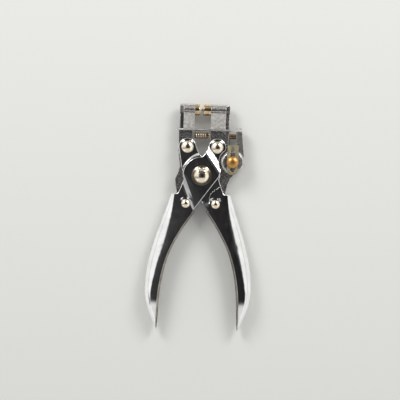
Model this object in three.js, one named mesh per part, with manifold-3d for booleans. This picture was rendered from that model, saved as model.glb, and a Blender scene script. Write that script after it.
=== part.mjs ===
// Parallel-jaw eyelet pliers that punch a hole and set an eyelet.
// Millimetres. The pliers lie on their back: +Z is the front, +Y runs up to the jaws, and the
// origin is on the flat back of the pivot rivet.
import * as THREE from "three";
import { mergeVertices } from "three/addons/utils/BufferGeometryUtils.js";
import Module from "manifold-3d";

const wasm = await Module();
wasm.setup();

// Driving dimensions: the linkage
const rivetX = 10.3;
const rivetY = 19.6;
const closeTravel = 6.2;
const openTravel = 18;

// Stack through the thickness, as distances from the middle plane
const sheet = 1.2;
const plateInner = 4.6;
const dishDrop = 0.8;
const bridgeRise = 1;
const padHalf = 4.3;
const faceHalf = 3.9;
const tailHalf = 3.3;
const runGap = 0.3;
const overrun = 2;
const beyond = 60;

// Handle plates
const earRadius = 6.1;
const earTurn = 20;
const notchHeight = 12.9;
const notchBendShare = 0.85;
const waistOut = 14.1;
const waistUp = 6.2;
const hipOut = 12.1;
const hipDown = 0.6;
const cuffIn = 4.9;
const cuffDown = 24;
const shoulderOut = 15.7;
const shoulderDown = 12.1;
const shoulderBendShare = 0.72;
const plateEndDown = 26;
const cornerRound = 1.2;
const bossGap = 1.2;
const dishRadius = 16.4;
const dishRamp = 1.7;
const dishOffX = 3.5;
const dishOffY = 1.5;
const rivetPadIn = 6;
const rivetPadUp = 12.4;
const rivetPadRound = 3.2;
const rivetPadEdgeOut = 13.6;
const rivetPadEdgeUp = 7;
const bridgeUpperAngle = 35.5;
const bridgeUpperStart = 11.8;
const bridgeUpperRamp = 3.6;
const bridgeLowerAngle = 202;
const bridgeLowerStart = 11;
const bridgeLowerRamp = 2.6;
const bridgeReach = 9.5;

// Grips: pressed channels, open towards each other
const gripTop = 13;
const gripLength = 94;
const gripSpread = 36.7;
const gripHalf = 7.6;
const gripEdgeRound = 1.3;
const gripWallShare = 0.6;
const gripEdgeShare = 0.85;

// Rivets: shank and front dome
const pivotShank = 3;
const pivotDome = 5;
const pivotDomeHeight = 2.4;
const pivotSkirt = 6.8;
const skirtEdge = 0.15;
const skirtRise = 0.3;
const upperShank = 2.6;
const upperDome = 4.15;
const upperDomeHeight = 2.3;
const lowerShank = 1.7;
const lowerDome = 2.95;
const lowerDomeHeight = 1.8;
const backHeadRound = 0.4;
const spacerWall = 1.7;

// Jaws
const dieHeight = 45.4;
const dieBossRadius = 4.4;
const rightInner = 5.1;
const rightWidth = 13.3;
const leftInner = 5.9;
const leftWidth = 10.5;
const stripWidth = 2.8;
const stripDrop = 0.7;
const stripBevel = 0.6;
const pocketTop = 31;
const pocketRound = 4.1;
const pocketStrip = 2.8;
const pocketHalf = 2.8;
const innerRim = 1.1;
const innerRimEnd = 24;
const innerSlopeTop = 18;
const tailInner = 6.6;
const tailEndRadius = 5;
const padRadius = 4.3;
const lowerPadTop = 19.4;
const lowerPadIn = 8.6;

// Punch arm beside the right jaw
const armGap = 4.6;
const armWidth = 4.1;
const armTop = 33.8;
const armTopBevel = 1.6;
const armFlareTop = 0.4;
const armFlare = 1.7;
const armSlotFoot = 16.6;
const armFootUp = 16.4;
const bossSideUp = 11.4;
const bossSideDown = 7.7;

// Adjustable edge stop and its round boss
const stopX = 21.2;
const stopY = 9.8;
const stopBossRadius = 8.2;
const stopBossFront = 6.9;
const stopBossBevel = 1.3;
const stopGrooveFloor = 5.9;
const stopGap = 0.15;
const strapWidth = 7.3;
const strapThickness = 1;
const strapAbove = 11.7;
const strapBelow = 8.8;
const strapCorner = 1.6;
const strapSlotWidth = 3.4;
const strapSlotAbove = 9.6;
const strapSlotBelow = 7;
const stopShank = 1.4;
const stopDome = 4.2;
const stopDomeHeight = 2.3;
const stopTailHead = 3.2;
const stopTailHeight = 1;
const stopWasherRadius = 3.7;
const stopWasherThickness = 0.5;

// Dies
const dieRadius = 4.3;
const dieShank = 2.5;
const dieShankLength = 5;
const anvilLength = 3.3;
const anvilBore = 1;
const anvilCup = 2.1;
const anvilCupDepth = 1.3;
const setterLength = 5.2;
const setterNose = 1.5;
const setterNoseLength = 1.05;
const dieEdge = 0.4;
const pilotRadius = 0.5;
const pilotProud = 1.05;
const pilotTip = 0.25;
const pilotSeat = 6;

// Punch, its bush and the return spring
const punchHeight = 27.7;
const punchRadius = 1.8;
const punchSeat = 8.5;
const punchPast = 0.6;
const punchBore = 1.2;
const punchBoreDepth = 4;
const bushWall = 1;
const springCoilRadius = 2.45;
const springWireRadius = 0.4;
const springCurls = 5;
const washerRadius = 3.3;
const washerThickness = 0.6;
const washerGap = 0.4;

// Guard wire across the jaws
const guardHeight = 31.7;
const guardWireRadius = 0.6;
const guardGap = 0.55;
const guardSideGap = 0.95;
const guardPast = 1.1;

// Facets
const roundSides = 28;
const smallSides = 16;
const dishSides = 44;
const domeSteps = 5;
const shapeSegments = 6;
const gripRings = 28;
const bendSteps = 5;
const curlSteps = 8;
const wireSides = 5;
const guardSegments = 4;
const guardSteps = 36;
const weld = 1e-3;
const gridSteps = 2000;

const radians = (degrees) => (degrees * Math.PI) / 180;

// Levels and places that follow from the sizes above
const plateOuter = plateInner + sheet;
const bridgeOuter = plateOuter + bridgeRise;
const rightOuter = rightInner + rightWidth;
const leftOuter = leftInner + leftWidth;
const armInner = rightOuter + armGap;
const armOuter = armInner + armWidth;
const stripHalf = faceHalf - stripDrop;
const bushBore = punchRadius + runGap;
const bushRadius = bushBore + bushWall;
const linkRadius = Math.hypot(rivetX, rivetY);
const linkAngle = Math.atan2(rivetY, rivetX);

// Solids from three.js geometry, and the booleans between them
function solidOf(geometry) {
  const bare = geometry.index ? geometry.toNonIndexed() : geometry.clone();
  bare.deleteAttribute("normal");
  bare.deleteAttribute("uv");
  const values = bare.attributes.position.array;
  values.forEach((value, i) => {
    values[i] = Math.round(value * gridSteps) / gridSteps;
  });
  const merged = mergeVertices(bare, weld);
  const corners = merged.index.array;
  const kept = [];
  for (let i = 0; i < corners.length; i += 3) {
    const [a, b, c] = [corners[i], corners[i + 1], corners[i + 2]];
    if (a !== b && b !== c && c !== a) kept.push(a, b, c);
  }
  const vertProperties = merged.attributes.position.array;
  const build = (order) =>
    new wasm.Manifold(
      new wasm.Mesh({ numProp: 3, vertProperties, triVerts: new Uint32Array(order) }),
    );
  const solid = build(kept);
  return solid.volume() < 0 ? build(kept.reverse()) : solid;
}

const join = (first, ...rest) => rest.reduce((all, next) => all.add(next), first);
const cut = (first, ...rest) => rest.reduce((all, next) => all.subtract(next), first);

// The surface of a solid as three.js geometry, its Z kept or mirrored
function surfaceOf(solid, zSign = 1) {
  const { numProp, numVert, vertProperties, triVerts } = solid.getMesh();
  const positions = new Float32Array(numVert * 3);
  for (let i = 0; i < numVert; i += 1) {
    const [x, y, z] = vertProperties.subarray(i * numProp, i * numProp + 3);
    positions.set([x, y, zSign * z], i * 3);
  }
  const geometry = new THREE.BufferGeometry();
  geometry.setAttribute("position", new THREE.BufferAttribute(positions, 3));
  geometry.setIndex(new THREE.BufferAttribute(triVerts, 1));
  return geometry;
}

// The back plate of a handle is its front plate mirrored in the middle plane
const mirroredZ = (solid) => solidOf(surfaceOf(solid, -1));

// Cuts leave corners a hair apart, so each finished solid goes back through the grid once
function meshOf(name, solid, material) {
  const geometry = surfaceOf(solidOf(surfaceOf(solid)));
  geometry.computeVertexNormals();
  const mesh = new THREE.Mesh(geometry, material);
  mesh.name = name;
  return mesh;
}

// A straight prism of a shape between two heights
function prism(shape, low, high) {
  const geometry = new THREE.ExtrudeGeometry(shape, {
    depth: high - low,
    bevelEnabled: false,
    curveSegments: shapeSegments,
  });
  return solidOf(geometry.translate(0, 0, low));
}

// The same prism on the front and on the back of the middle plane
const bothSides = (shape, low, high) =>
  join(prism(shape, low, high), prism(shape, -high, -low));

// A prism along Y of a shape drawn in X and Z
function prismAlongY(shape, low, high) {
  const geometry = new THREE.ExtrudeGeometry(shape, {
    depth: high - low,
    bevelEnabled: false,
    curveSegments: shapeSegments,
  });
  return solidOf(geometry.rotateX(Math.PI / 2).translate(0, high, 0));
}

// A prism along X of a shape drawn in Y and Z
function prismAlongX(shape, low, high) {
  const geometry = new THREE.ExtrudeGeometry(shape, {
    depth: high - low,
    bevelEnabled: false,
    curveSegments: shapeSegments,
  });
  return solidOf(geometry.rotateX(Math.PI / 2).rotateZ(Math.PI / 2).translate(low, 0, 0));
}

const profileOf = (points) => points.map(([r, along]) => new THREE.Vector2(r, along));

// A turned piece whose axis stands along Z, from points of radius and height
function turnedZ(points, x, y, sides = roundSides) {
  const geometry = new THREE.LatheGeometry(profileOf(points), sides);
  return solidOf(geometry.rotateX(Math.PI / 2).translate(x, y, 0));
}

// A turned piece whose axis lies along X, from points of radius and X
function turnedX(points, y, sides = roundSides) {
  const geometry = new THREE.LatheGeometry(profileOf(points), sides);
  return solidOf(geometry.rotateZ(-Math.PI / 2).translate(0, y, 0));
}

const rodZ = (radius, low, high, x, y, sides = roundSides) =>
  turnedZ([[0, low], [radius, low], [radius, high], [0, high]], x, y, sides);

const rodX = (radius, low, high, y, sides = roundSides) =>
  turnedX([[0, low], [radius, low], [radius, high], [0, high]], y, sides);

const tubeX = (outer, inner, low, high, y, sides = roundSides) =>
  turnedX([[inner, low], [outer, low], [outer, high], [inner, high], [inner, low]], y, sides);

// A closed shape through corners of x, y and the length that each corner's rounding takes
function roundedShape(corners) {
  const points = corners.map(([x, y]) => new THREE.Vector2(x, y));
  const shape = new THREE.Shape();
  corners.forEach(([, , round = 0], i) => {
    const here = points[i];
    const before = points[(i + points.length - 1) % points.length];
    const after = points[(i + 1) % points.length];
    const enter = here.clone().add(before.clone().sub(here).setLength(round));
    const leave = here.clone().add(after.clone().sub(here).setLength(round));
    if (i === 0) shape.moveTo(enter.x, enter.y);
    else shape.lineTo(enter.x, enter.y);
    if (round > 0) shape.quadraticCurveTo(here.x, here.y, leave.x, leave.y);
  });
  shape.closePath();
  return shape;
}

const boxShape = (x0, x1, y0, y1, round = 0) =>
  roundedShape([[x0, y0, round], [x1, y0, round], [x1, y1, round], [x0, y1, round]]);

// A slot with round ends, upright on x, between the centres of its ends
function slotShape(x, low, high, radius) {
  const shape = new THREE.Shape();
  shape.absarc(x, high, radius, 0, Math.PI, false);
  shape.absarc(x, low, radius, Math.PI, 2 * Math.PI, false);
  shape.closePath();
  return shape;
}

// Distance between an upper and a lower rivet when the handles have turned by an angle in degrees
const rivetSpan = (travel) => 2 * linkRadius * Math.sin(linkAngle - radians(travel) / 2);
const slotHighEnd = rivetY - rivetSpan(openTravel);
const slotLowEnd = rivetY - rivetSpan(-closeTravel);

// The outline of one handle plate, with its grip on the side that side names and its ear on the other
function plateOutline(side) {
  const ear = -side;
  const shape = new THREE.Shape();
  const turn = radians(earTurn);
  const earStart = side < 0 ? Math.PI - turn : turn;
  const earEnd = side < 0 ? -turn : Math.PI + turn;
  const shoulderPoints = [
    [side * hipOut, -hipDown - overrun],
    [side * (hipOut + shoulderOut) / 2, -shoulderDown * shoulderBendShare],
    [side * shoulderOut, -shoulderDown],
  ];
  shape.moveTo(0, notchHeight);
  shape.quadraticCurveTo(
    ear * (rivetX - earRadius) * notchBendShare,
    (notchHeight + rivetY) / 2,
    ear * rivetX + earRadius * Math.cos(earStart),
    rivetY + earRadius * Math.sin(earStart),
  );
  shape.absarc(ear * rivetX, rivetY, earRadius, earStart, earEnd, side < 0);
  shape.lineTo(ear * waistOut, waistUp);
  shape.lineTo(ear * hipOut, -hipDown);
  shape.lineTo(side * cuffIn, -cuffDown);
  shape.lineTo(side * (cuffIn + cornerRound), -plateEndDown);
  shape.lineTo(side * (shoulderOut + overrun), -plateEndDown);
  shape.lineTo(side * (shoulderOut + overrun), -shoulderDown - cornerRound);
  shape.quadraticCurveTo(
    side * (shoulderOut + cornerRound),
    -shoulderDown - cornerRound,
    ...shoulderPoints[2],
  );
  shape.quadraticCurveTo(...shoulderPoints[1], ...shoulderPoints[0]);
  const crownEnd = Math.atan2(-hipDown, side * notchHeight);
  const crownStart = side < 0 ? crownEnd + 2 * Math.PI : crownEnd;
  shape.absarc(0, 0, notchHeight, crownStart, Math.PI / 2, side < 0);
  shape.closePath();
  return shape;
}

// A sheet whose level steps by a straight ramp along a direction: points of distance and height
function rampSheet(angle, from, start, ramp, high, low, thickness) {
  const shape = new THREE.Shape();
  shape.moveTo(from, high);
  shape.lineTo(start, high);
  shape.lineTo(start + ramp, low);
  shape.lineTo(beyond, low);
  shape.lineTo(beyond, low + thickness);
  shape.lineTo(start + ramp, low + thickness);
  shape.lineTo(start, high + thickness);
  shape.lineTo(from, high + thickness);
  shape.closePath();
  const geometry = new THREE.ExtrudeGeometry(shape, { depth: 2 * beyond, bevelEnabled: false });
  geometry.translate(0, 0, -beyond).rotateX(Math.PI / 2).rotateZ(radians(angle));
  return solidOf(geometry);
}

// The left handle's plate rises over the right handle's at the pivot, like a bridge
function bridgePlate() {
  const high = plateInner + bridgeRise;
  const upper = rampSheet(
    bridgeUpperAngle, -bridgeReach, bridgeUpperStart, bridgeUpperRamp, high, plateInner, sheet,
  );
  const lower = rampSheet(
    bridgeLowerAngle, 0, bridgeLowerStart, bridgeLowerRamp, high, plateInner, sheet,
  );
  const blank = prism(plateOutline(-1), 0, gripHalf);
  const scoop = rodZ(stopBossRadius + bossGap, 0, gripHalf, stopX, stopY);
  return cut(join(upper, lower).intersect(blank), scoop);
}

// The right handle's plate is dished round the pivot to pass under the bridge, and steps up again
// to a pad round its lower rivet
function dishPlate() {
  const low = plateInner - dishDrop;
  const rim = dishRadius + dishRamp;
  const sheetRound = turnedZ(
    [
      [0, low],
      [dishRadius, low],
      [rim, plateInner],
      [beyond, plateInner],
      [beyond, plateOuter],
      [rim, plateOuter],
      [dishRadius, low + sheet],
      [0, low + sheet],
    ],
    dishOffX,
    -dishOffY,
    dishSides,
  );
  const pad = prism(
    roundedShape([
      [rivetPadIn, -beyond],
      [beyond, -beyond],
      [beyond, -rivetPadEdgeUp],
      [rivetPadEdgeOut, -rivetPadEdgeUp],
      [rivetPadIn, -rivetPadUp, rivetPadRound],
    ]),
    plateInner,
    plateOuter,
  );
  return join(sheetRound, pad).intersect(prism(plateOutline(1), 0, gripHalf));
}

// Grip stations from the shoulder to the tip, as shares of gripLength, gripSpread and gripHalf:
// along, outer edge, inner edge, half depth, and the width of the rounded spine
const gripShares = [
  [0.0, 0.557, 0.36, 0.763, 0.062],
  [0.055, 0.6, 0.25, 0.763, 0.095],
  [0.117, 0.651, 0.105, 0.763, 0.135],
  [0.197, 0.72, 0.23, 0.803, 0.18],
  [0.271, 0.786, 0.347, 0.868, 0.203],
  [0.351, 0.851, 0.46, 0.934, 0.211],
  [0.436, 0.911, 0.557, 0.985, 0.208],
  [0.521, 0.959, 0.626, 1, 0.192],
  [0.606, 0.99, 0.676, 1, 0.17],
  [0.691, 1, 0.71, 1, 0.135],
  [0.755, 0.99, 0.727, 0.995, 0.112],
  [0.809, 0.963, 0.738, 0.955, 0.098],
  [0.862, 0.921, 0.744, 0.83, 0.09],
  [0.915, 0.869, 0.748, 0.67, 0.075],
  [0.957, 0.824, 0.752, 0.52, 0.05],
  [1, 0.788, 0.757, 0.36, 0.028],
];

// One channel section: the outer line round the spine, then the inner line back
function gripSection(station, side) {
  const [along, outerShare, innerShare, halfShare, spineShare] = station;
  const y = -gripTop - along * gripLength;
  const outer = outerShare * gripSpread;
  const inner = innerShare * gripSpread;
  const half = halfShare * gripHalf;
  const spine = spineShare * gripSpread;
  const wall = Math.min(sheet, (outer - inner) * gripWallShare, half * gripWallShare);
  const edge = Math.min(gripEdgeRound, wall * gripEdgeShare);
  const centre = outer - spine;
  const flatStart = Math.min(inner + edge, centre);
  const wallCentre = Math.min(centre, outer - wall);
  const points = [[inner, half - edge], [flatStart, half]];
  for (let i = 0; i <= 2 * bendSteps; i += 1) {
    const turn = Math.PI / 2 - (Math.PI * i) / (2 * bendSteps);
    points.push([centre + spine * Math.cos(turn), half * Math.sin(turn)]);
  }
  points.push([flatStart, -half], [inner, -half + edge], [inner, -half + wall]);
  for (let i = 0; i <= 2 * bendSteps; i += 1) {
    const turn = -Math.PI / 2 + (Math.PI * i) / (2 * bendSteps);
    points.push([
      wallCentre + (outer - wall - wallCentre) * Math.cos(turn),
      (half - wall) * Math.sin(turn),
    ]);
  }
  points.push([inner, half - wall]);
  return points.map(([x, z]) => new THREE.Vector3(side * x, y, z));
}

// A closed skin through rings of as many points each, with flat caps
function loft(rings) {
  const count = rings[0].length;
  const positions = rings.flat().flatMap((p) => [p.x, p.y, p.z]);
  const index = [];
  for (let ring = 0; ring + 1 < rings.length; ring += 1) {
    for (let i = 0; i < count; i += 1) {
      const a = ring * count + i;
      const b = ring * count + ((i + 1) % count);
      index.push(a, b, b + count, a, b + count, a + count);
    }
  }
  const capOf = (ring) =>
    THREE.ShapeUtils.triangulateShape(ring.map((p) => new THREE.Vector2(p.x, p.z)), []);
  const last = (rings.length - 1) * count;
  const turned = THREE.ShapeUtils.area(rings[0].map((p) => new THREE.Vector2(p.x, p.z))) < 0;
  const add = (triangles, offset, flip) =>
    triangles.forEach(([a, b, c]) =>
      index.push(offset + a, offset + (flip ? c : b), offset + (flip ? b : c)),
    );
  add(capOf(rings[0]), 0, !turned);
  add(capOf(rings[rings.length - 1]), last, turned);
  const geometry = new THREE.BufferGeometry();
  geometry.setAttribute("position", new THREE.Float32BufferAttribute(positions, 3));
  geometry.setIndex(index);
  return geometry;
}

// Stations between the named ones, on a smooth curve through each column of shares
function stationAt(share) {
  const columns = gripShares[0].map((_, column) =>
    new THREE.CatmullRomCurve3(
      gripShares.map((row, i) => new THREE.Vector3(i, row[column], 0)),
      false,
      "catmullrom",
      0.5,
    ),
  );
  return columns.map((curve) => curve.getPoint(share).y);
}

function gripChannel(side) {
  const rings = [];
  for (let i = 0; i <= gripRings; i += 1) {
    rings.push(gripSection(stationAt(i / gripRings), side));
  }
  return solidOf(loft(rings));
}

// A handle: front plate, back plate and channel from one blank, with its rivet holes
function handle(side, plate) {
  const pressed = join(plate, mirroredZ(plate), gripChannel(side));
  const hole = (radius, x, y) => rodZ(radius + runGap, -gripHalf, gripHalf, x, y, smallSides);
  return cut(
    pressed,
    hole(pivotShank, 0, 0),
    hole(upperShank, -side * rivetX, rivetY),
    hole(lowerShank, side * rivetX, -rivetY),
  );
}

// A rivet through both plates: flat back head on the rest plane, domed front head, and at the
// pivot a low sloping skirt round the dome
function rivet(shank, dome, height, seat, x, y, sides, skirt = dome) {
  const points = [
    [0, -gripHalf],
    [dome - backHeadRound, -gripHalf],
    [dome, -gripHalf + backHeadRound],
    [dome, -seat],
    [shank, -seat],
    [shank, seat],
  ];
  const rise = skirt > dome ? skirtRise : 0;
  if (skirt > dome) points.push([skirt, seat], [skirt, seat + skirtEdge]);
  for (let i = 0; i <= domeSteps; i += 1) {
    const turn = (Math.PI * i) / (2 * domeSteps);
    points.push([dome * Math.cos(turn), seat + rise + (height - rise) * Math.sin(turn)]);
  }
  points[points.length - 1][0] = 0;
  return turnedZ(points, x, y, sides);
}

function pivotSpacer() {
  const inner = pivotShank + runGap;
  const outer = inner + spacerWall;
  const half = plateInner - dishDrop - runGap;
  const ring = [[inner, -half], [outer, -half], [outer, half], [inner, half], [inner, -half]];
  return turnedZ(ring, 0, 0);
}

// The slotted tail of a jaw, which slides on the lower rivet, and its pads
function tailCuts(side) {
  const slot = slotShape(side * rivetX, slotLowEnd, slotHighEnd, lowerShank + runGap);
  return [
    prism(slot, -gripHalf, gripHalf),
    rodZ(upperShank + runGap, -gripHalf, gripHalf, side * rivetX, rivetY, smallSides),
  ];
}

function jawPads(side, outline) {
  const upper = rodZ(padRadius, -padHalf, padHalf, side * rivetX, rivetY);
  const lower = prism(
    boxShape(side * lowerPadIn, side * (leftOuter + overrun), -rivetY - rivetSpan(0), -lowerPadTop),
    -padHalf,
    padHalf,
  );
  return join(upper, lower.intersect(prism(outline, -padHalf, padHalf)));
}

// Head block: a section in X and Z with a lower strip along the outer edge
function headSection(inner, outer) {
  const shoulder = outer - Math.sign(outer) * stripWidth;
  const bevel = outer - Math.sign(outer) * stripBevel;
  return roundedShape([
    [inner, -faceHalf],
    [shoulder, -faceHalf],
    [shoulder, -stripHalf],
    [bevel, -stripHalf],
    [outer, -stripHalf + stripBevel],
    [outer, stripHalf - stripBevel],
    [bevel, stripHalf],
    [shoulder, stripHalf],
    [shoulder, faceHalf],
    [inner, faceHalf],
  ]);
}

// The round boss that carries a die, across the top of a jaw, cut down to the strip's level
function dieBoss(inner, outer) {
  const side = Math.sign(outer);
  const bevel = side * dieEdge;
  const points = [
    [0, inner],
    [dieBossRadius, inner],
    [dieBossRadius, outer - bevel],
    [dieBossRadius - dieEdge, outer],
    [0, outer],
  ];
  const strip = boxShape(outer - side * stripWidth, outer + side * overrun, 0, beyond);
  return cut(turnedX(points, dieHeight), bothSides(strip, stripHalf, gripHalf));
}

// The bore that a die's shank seats in
const dieBore = (inner, side) =>
  rodX(
    dieShank + runGap,
    Math.min(inner - side * overrun, inner + side * (dieShankLength + runGap)),
    Math.max(inner - side * overrun, inner + side * (dieShankLength + runGap)),
    dieHeight,
    smallSides,
  );

// Outer edge of the left tail, as shares of leftOuter and rivetY
const leftTailShares = [
  [1.02, 1.4],
  [1.012, 0.9],
  [0.98, 0.63],
  [0.927, 0.316],
  [1.012, 0.077],
  [1.11, -0.133],
  [1.115, -0.214],
  [1.04, -0.566],
  [0.99, -0.95],
];

// Outer edge of the right tail below the stop's boss, as shares of stopX and rivetY
const rightTailShares = [
  [1.151, 0.194],
  [1.033, 0.026],
  [0.929, -0.097],
  [0.854, -0.306],
  [0.8, -0.597],
  [0.766, -0.95],
];

// The round end of a tail and its inner edge up to the jaw's own inner face
function closeTail(shape, side, inner) {
  const centre = side * rivetX;
  const start = side < 0 ? Math.PI : 0;
  const end = side < 0 ? 2 * Math.PI : -Math.PI;
  shape.absarc(centre, slotLowEnd, tailEndRadius, start, end, side > 0);
  shape.lineTo(side * tailInner, slotLowEnd + tailEndRadius);
  shape.lineTo(side * tailInner, notchHeight);
  shape.lineTo(side * inner, innerSlopeTop);
  shape.closePath();
}

function leftOutline() {
  const shape = new THREE.Shape();
  shape.moveTo(-leftInner, dieHeight);
  shape.lineTo(-leftOuter, dieHeight);
  leftTailShares.forEach(([x, y]) => shape.lineTo(-x * leftOuter, y * rivetY));
  closeTail(shape, -1, leftInner);
  return shape;
}

function leftJaw() {
  const outline = leftOutline();
  const pocket = boxShape(
    -leftOuter - overrun, -leftInner - innerRim, notchHeight, pocketTop, cornerRound,
  );
  const belowRim = boxShape(-leftOuter - overrun, overrun, notchHeight, innerRimEnd);
  const head = prismAlongY(headSection(-leftInner, -leftOuter), notchHeight, dieHeight);
  const tail = prism(outline, -tailHalf, tailHalf).intersect(
    prism(boxShape(-beyond, 0, -beyond, notchHeight), -gripHalf, gripHalf),
  );
  const sunk = join(
    bothSides(pocket, pocketHalf, gripHalf),
    bothSides(belowRim, pocketHalf, gripHalf),
  );
  const silhouette = prism(outline, -gripHalf, gripHalf);
  const casting = join(
    tail,
    cut(head, sunk).intersect(silhouette),
    dieBoss(-leftInner, -leftOuter),
    jawPads(-1, outline),
  );
  const punchSocket = rodX(
    punchRadius + runGap, -leftInner - punchSeat - runGap, -leftInner + overrun, punchHeight, smallSides,
  );
  return cut(casting, ...tailCuts(-1), dieBore(-leftInner, -1), punchSocket);
}

// The right jaw's silhouette with the punch arm beside it and the boss of the edge stop
function rightOutline() {
  const shape = new THREE.Shape();
  const slotFoot = armSlotFoot + armGap / 2;
  shape.moveTo(rightInner, dieHeight);
  shape.lineTo(rightOuter, dieHeight);
  shape.absarc(rightOuter + armGap / 2, slotFoot, armGap / 2, Math.PI, 2 * Math.PI, false);
  shape.lineTo(armInner, armTop);
  shape.lineTo(armOuter - armFlareTop, armTop);
  shape.lineTo(armOuter, armTop - armTopBevel);
  shape.lineTo(armOuter + armFlare, armFootUp);
  shape.lineTo(stopX + stopBossRadius, bossSideUp);
  shape.lineTo(stopX + stopBossRadius, bossSideDown);
  rightTailShares.forEach(([x, y]) => shape.lineTo(x * stopX, y * rivetY));
  closeTail(shape, 1, rightInner);
  return shape;
}

// The boss stands proud of the front, with a groove that guides the strap
function stopBoss(outline) {
  const front = stopBossFront;
  const drum = turnedZ(
    [
      [0, -faceHalf],
      [stopBossRadius, -faceHalf],
      [stopBossRadius, front - stopBossBevel],
      [stopBossRadius - stopBossBevel, front],
      [0, front],
    ],
    stopX,
    stopY,
  );
  const grooveHalf = strapWidth / 2 + runGap;
  const groove = prism(
    boxShape(
      stopX - grooveHalf, stopX + grooveHalf,
      stopY - stopBossRadius - overrun, stopY + stopBossRadius + overrun,
    ),
    stopGrooveFloor,
    front + overrun,
  );
  const earRoom = rodZ(
    earRadius + runGap, padHalf, front + overrun, rivetX, rivetY,
  );
  return cut(drum, groove, earRoom).intersect(prism(outline, -gripHalf, gripHalf));
}

// The arm is flat in front and behind, and bevelled at its top
function armBlock(outline) {
  const section = roundedShape([
    [stopY, -faceHalf],
    [armTop - armTopBevel, -faceHalf],
    [armTop, -faceHalf + armTopBevel],
    [armTop, faceHalf - armTopBevel],
    [armTop - armTopBevel, faceHalf],
    [stopY, faceHalf],
  ]);
  const block = prismAlongX(section, armInner, armOuter + armFlare + overrun);
  return block.intersect(prism(outline, -faceHalf, faceHalf));
}

function rightJaw() {
  const outline = rightOutline();
  const pocket = boxShape(-overrun, rightOuter - pocketStrip, 0, pocketTop, pocketRound);
  const head = prismAlongY(headSection(rightInner, rightOuter), stopY, dieHeight);
  const silhouette = prism(outline, -gripHalf, gripHalf);
  const casting = join(
    prism(outline, -tailHalf, tailHalf).intersect(join(
      prism(boxShape(0, rightOuter, -beyond, stopY), -gripHalf, gripHalf),
      prism(boxShape(rightOuter, beyond, -beyond, stopY + stopBossRadius), -gripHalf, gripHalf),
    )),
    cut(head, bothSides(pocket, pocketHalf, gripHalf)).intersect(silhouette),
    armBlock(outline),
    stopBoss(outline),
    dieBoss(rightInner, rightOuter),
    jawPads(1, outline),
  );
  const punchWay = rodX(
    punchRadius + runGap, rightInner - overrun, rightOuter + overrun, punchHeight, smallSides,
  );
  const bushSeat = rodX(
    bushRadius + runGap, armInner - overrun, armOuter + armFlare + overrun, punchHeight, smallSides,
  );
  const stopHole = rodZ(stopShank + runGap, -gripHalf, gripHalf, stopX, stopY, smallSides);
  return cut(casting, ...tailCuts(1), dieBore(rightInner, 1), punchWay, bushSeat, stopHole);
}

// Anvil die in the left jaw: a cup for the rolled edge, bored for the pilot
function anvilDie() {
  const face = -leftInner + anvilLength;
  const foot = -leftInner - dieShankLength;
  return turnedX(
    [
      [anvilBore, foot],
      [dieShank, foot],
      [dieShank, -leftInner],
      [dieRadius, -leftInner],
      [dieRadius, face - dieEdge],
      [dieRadius - dieEdge, face],
      [anvilCup, face],
      [anvilCup - dieEdge, face - anvilCupDepth],
      [anvilBore, face - anvilCupDepth],
      [anvilBore, foot],
    ],
    dieHeight,
  );
}

// Setting die in the right jaw: a stepped nose, bored for the pilot pin
function settingDie() {
  const face = rightInner - setterLength;
  const foot = rightInner + dieShankLength;
  const bore = pilotRadius + runGap;
  return turnedX(
    [
      [bore, face - setterNoseLength],
      [setterNose - dieEdge, face - setterNoseLength],
      [setterNose, face - setterNoseLength + dieEdge],
      [setterNose, face],
      [dieRadius - dieEdge, face],
      [dieRadius, face + dieEdge],
      [dieRadius, rightInner],
      [dieShank, rightInner],
      [dieShank, foot],
      [bore, foot],
      [bore, face - setterNoseLength],
    ],
    dieHeight,
  );
}

function pilotPin() {
  const nose = rightInner - setterLength - setterNoseLength;
  const tip = nose - pilotProud;
  return turnedX(
    [
      [0, tip],
      [pilotRadius - pilotTip, tip],
      [pilotRadius, tip + pilotTip],
      [pilotRadius, nose + pilotSeat],
      [0, nose + pilotSeat],
    ],
    dieHeight,
    smallSides,
  );
}

// The punch: a round rod seated in the left jaw, hollow at its cutting end
function punchRod() {
  const foot = -leftInner - punchSeat;
  const tip = armInner + punchPast;
  return turnedX(
    [
      [0, foot],
      [punchRadius, foot],
      [punchRadius, tip],
      [punchBore, tip],
      [punchBore, tip - punchBoreDepth],
      [0, tip - punchBoreDepth],
    ],
    punchHeight,
    smallSides,
  );
}

const punchBush = () =>
  tubeX(bushRadius, bushBore, armInner, armOuter, punchHeight, smallSides);

// The spring washer lies off the right jaw's face, round the punch
const washerBack = rightInner - washerGap;
const washerFront = washerBack - washerThickness;

const springWasher = () =>
  tubeX(washerRadius, punchRadius + runGap, washerFront, washerBack, punchHeight, smallSides);

// Centre points of the spring's wire: a straight end, the curls, a straight end
function springPoints() {
  const lead = 2 * springWireRadius;
  const from = -leftInner + runGap;
  const to = washerFront - runGap;
  const turns = springCurls * curlSteps;
  const at = (x, turn) =>
    new THREE.Vector3(
      x,
      punchHeight + springCoilRadius * Math.cos(turn),
      springCoilRadius * Math.sin(turn),
    );
  const points = [at(from, 0)];
  for (let i = 0; i <= turns; i += 1) {
    const x = from + lead + ((to - from - 2 * lead) * i) / turns;
    points.push(at(x, (2 * Math.PI * i) / curlSteps));
  }
  points.push(at(to, 2 * Math.PI * springCurls));
  return points;
}

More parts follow.
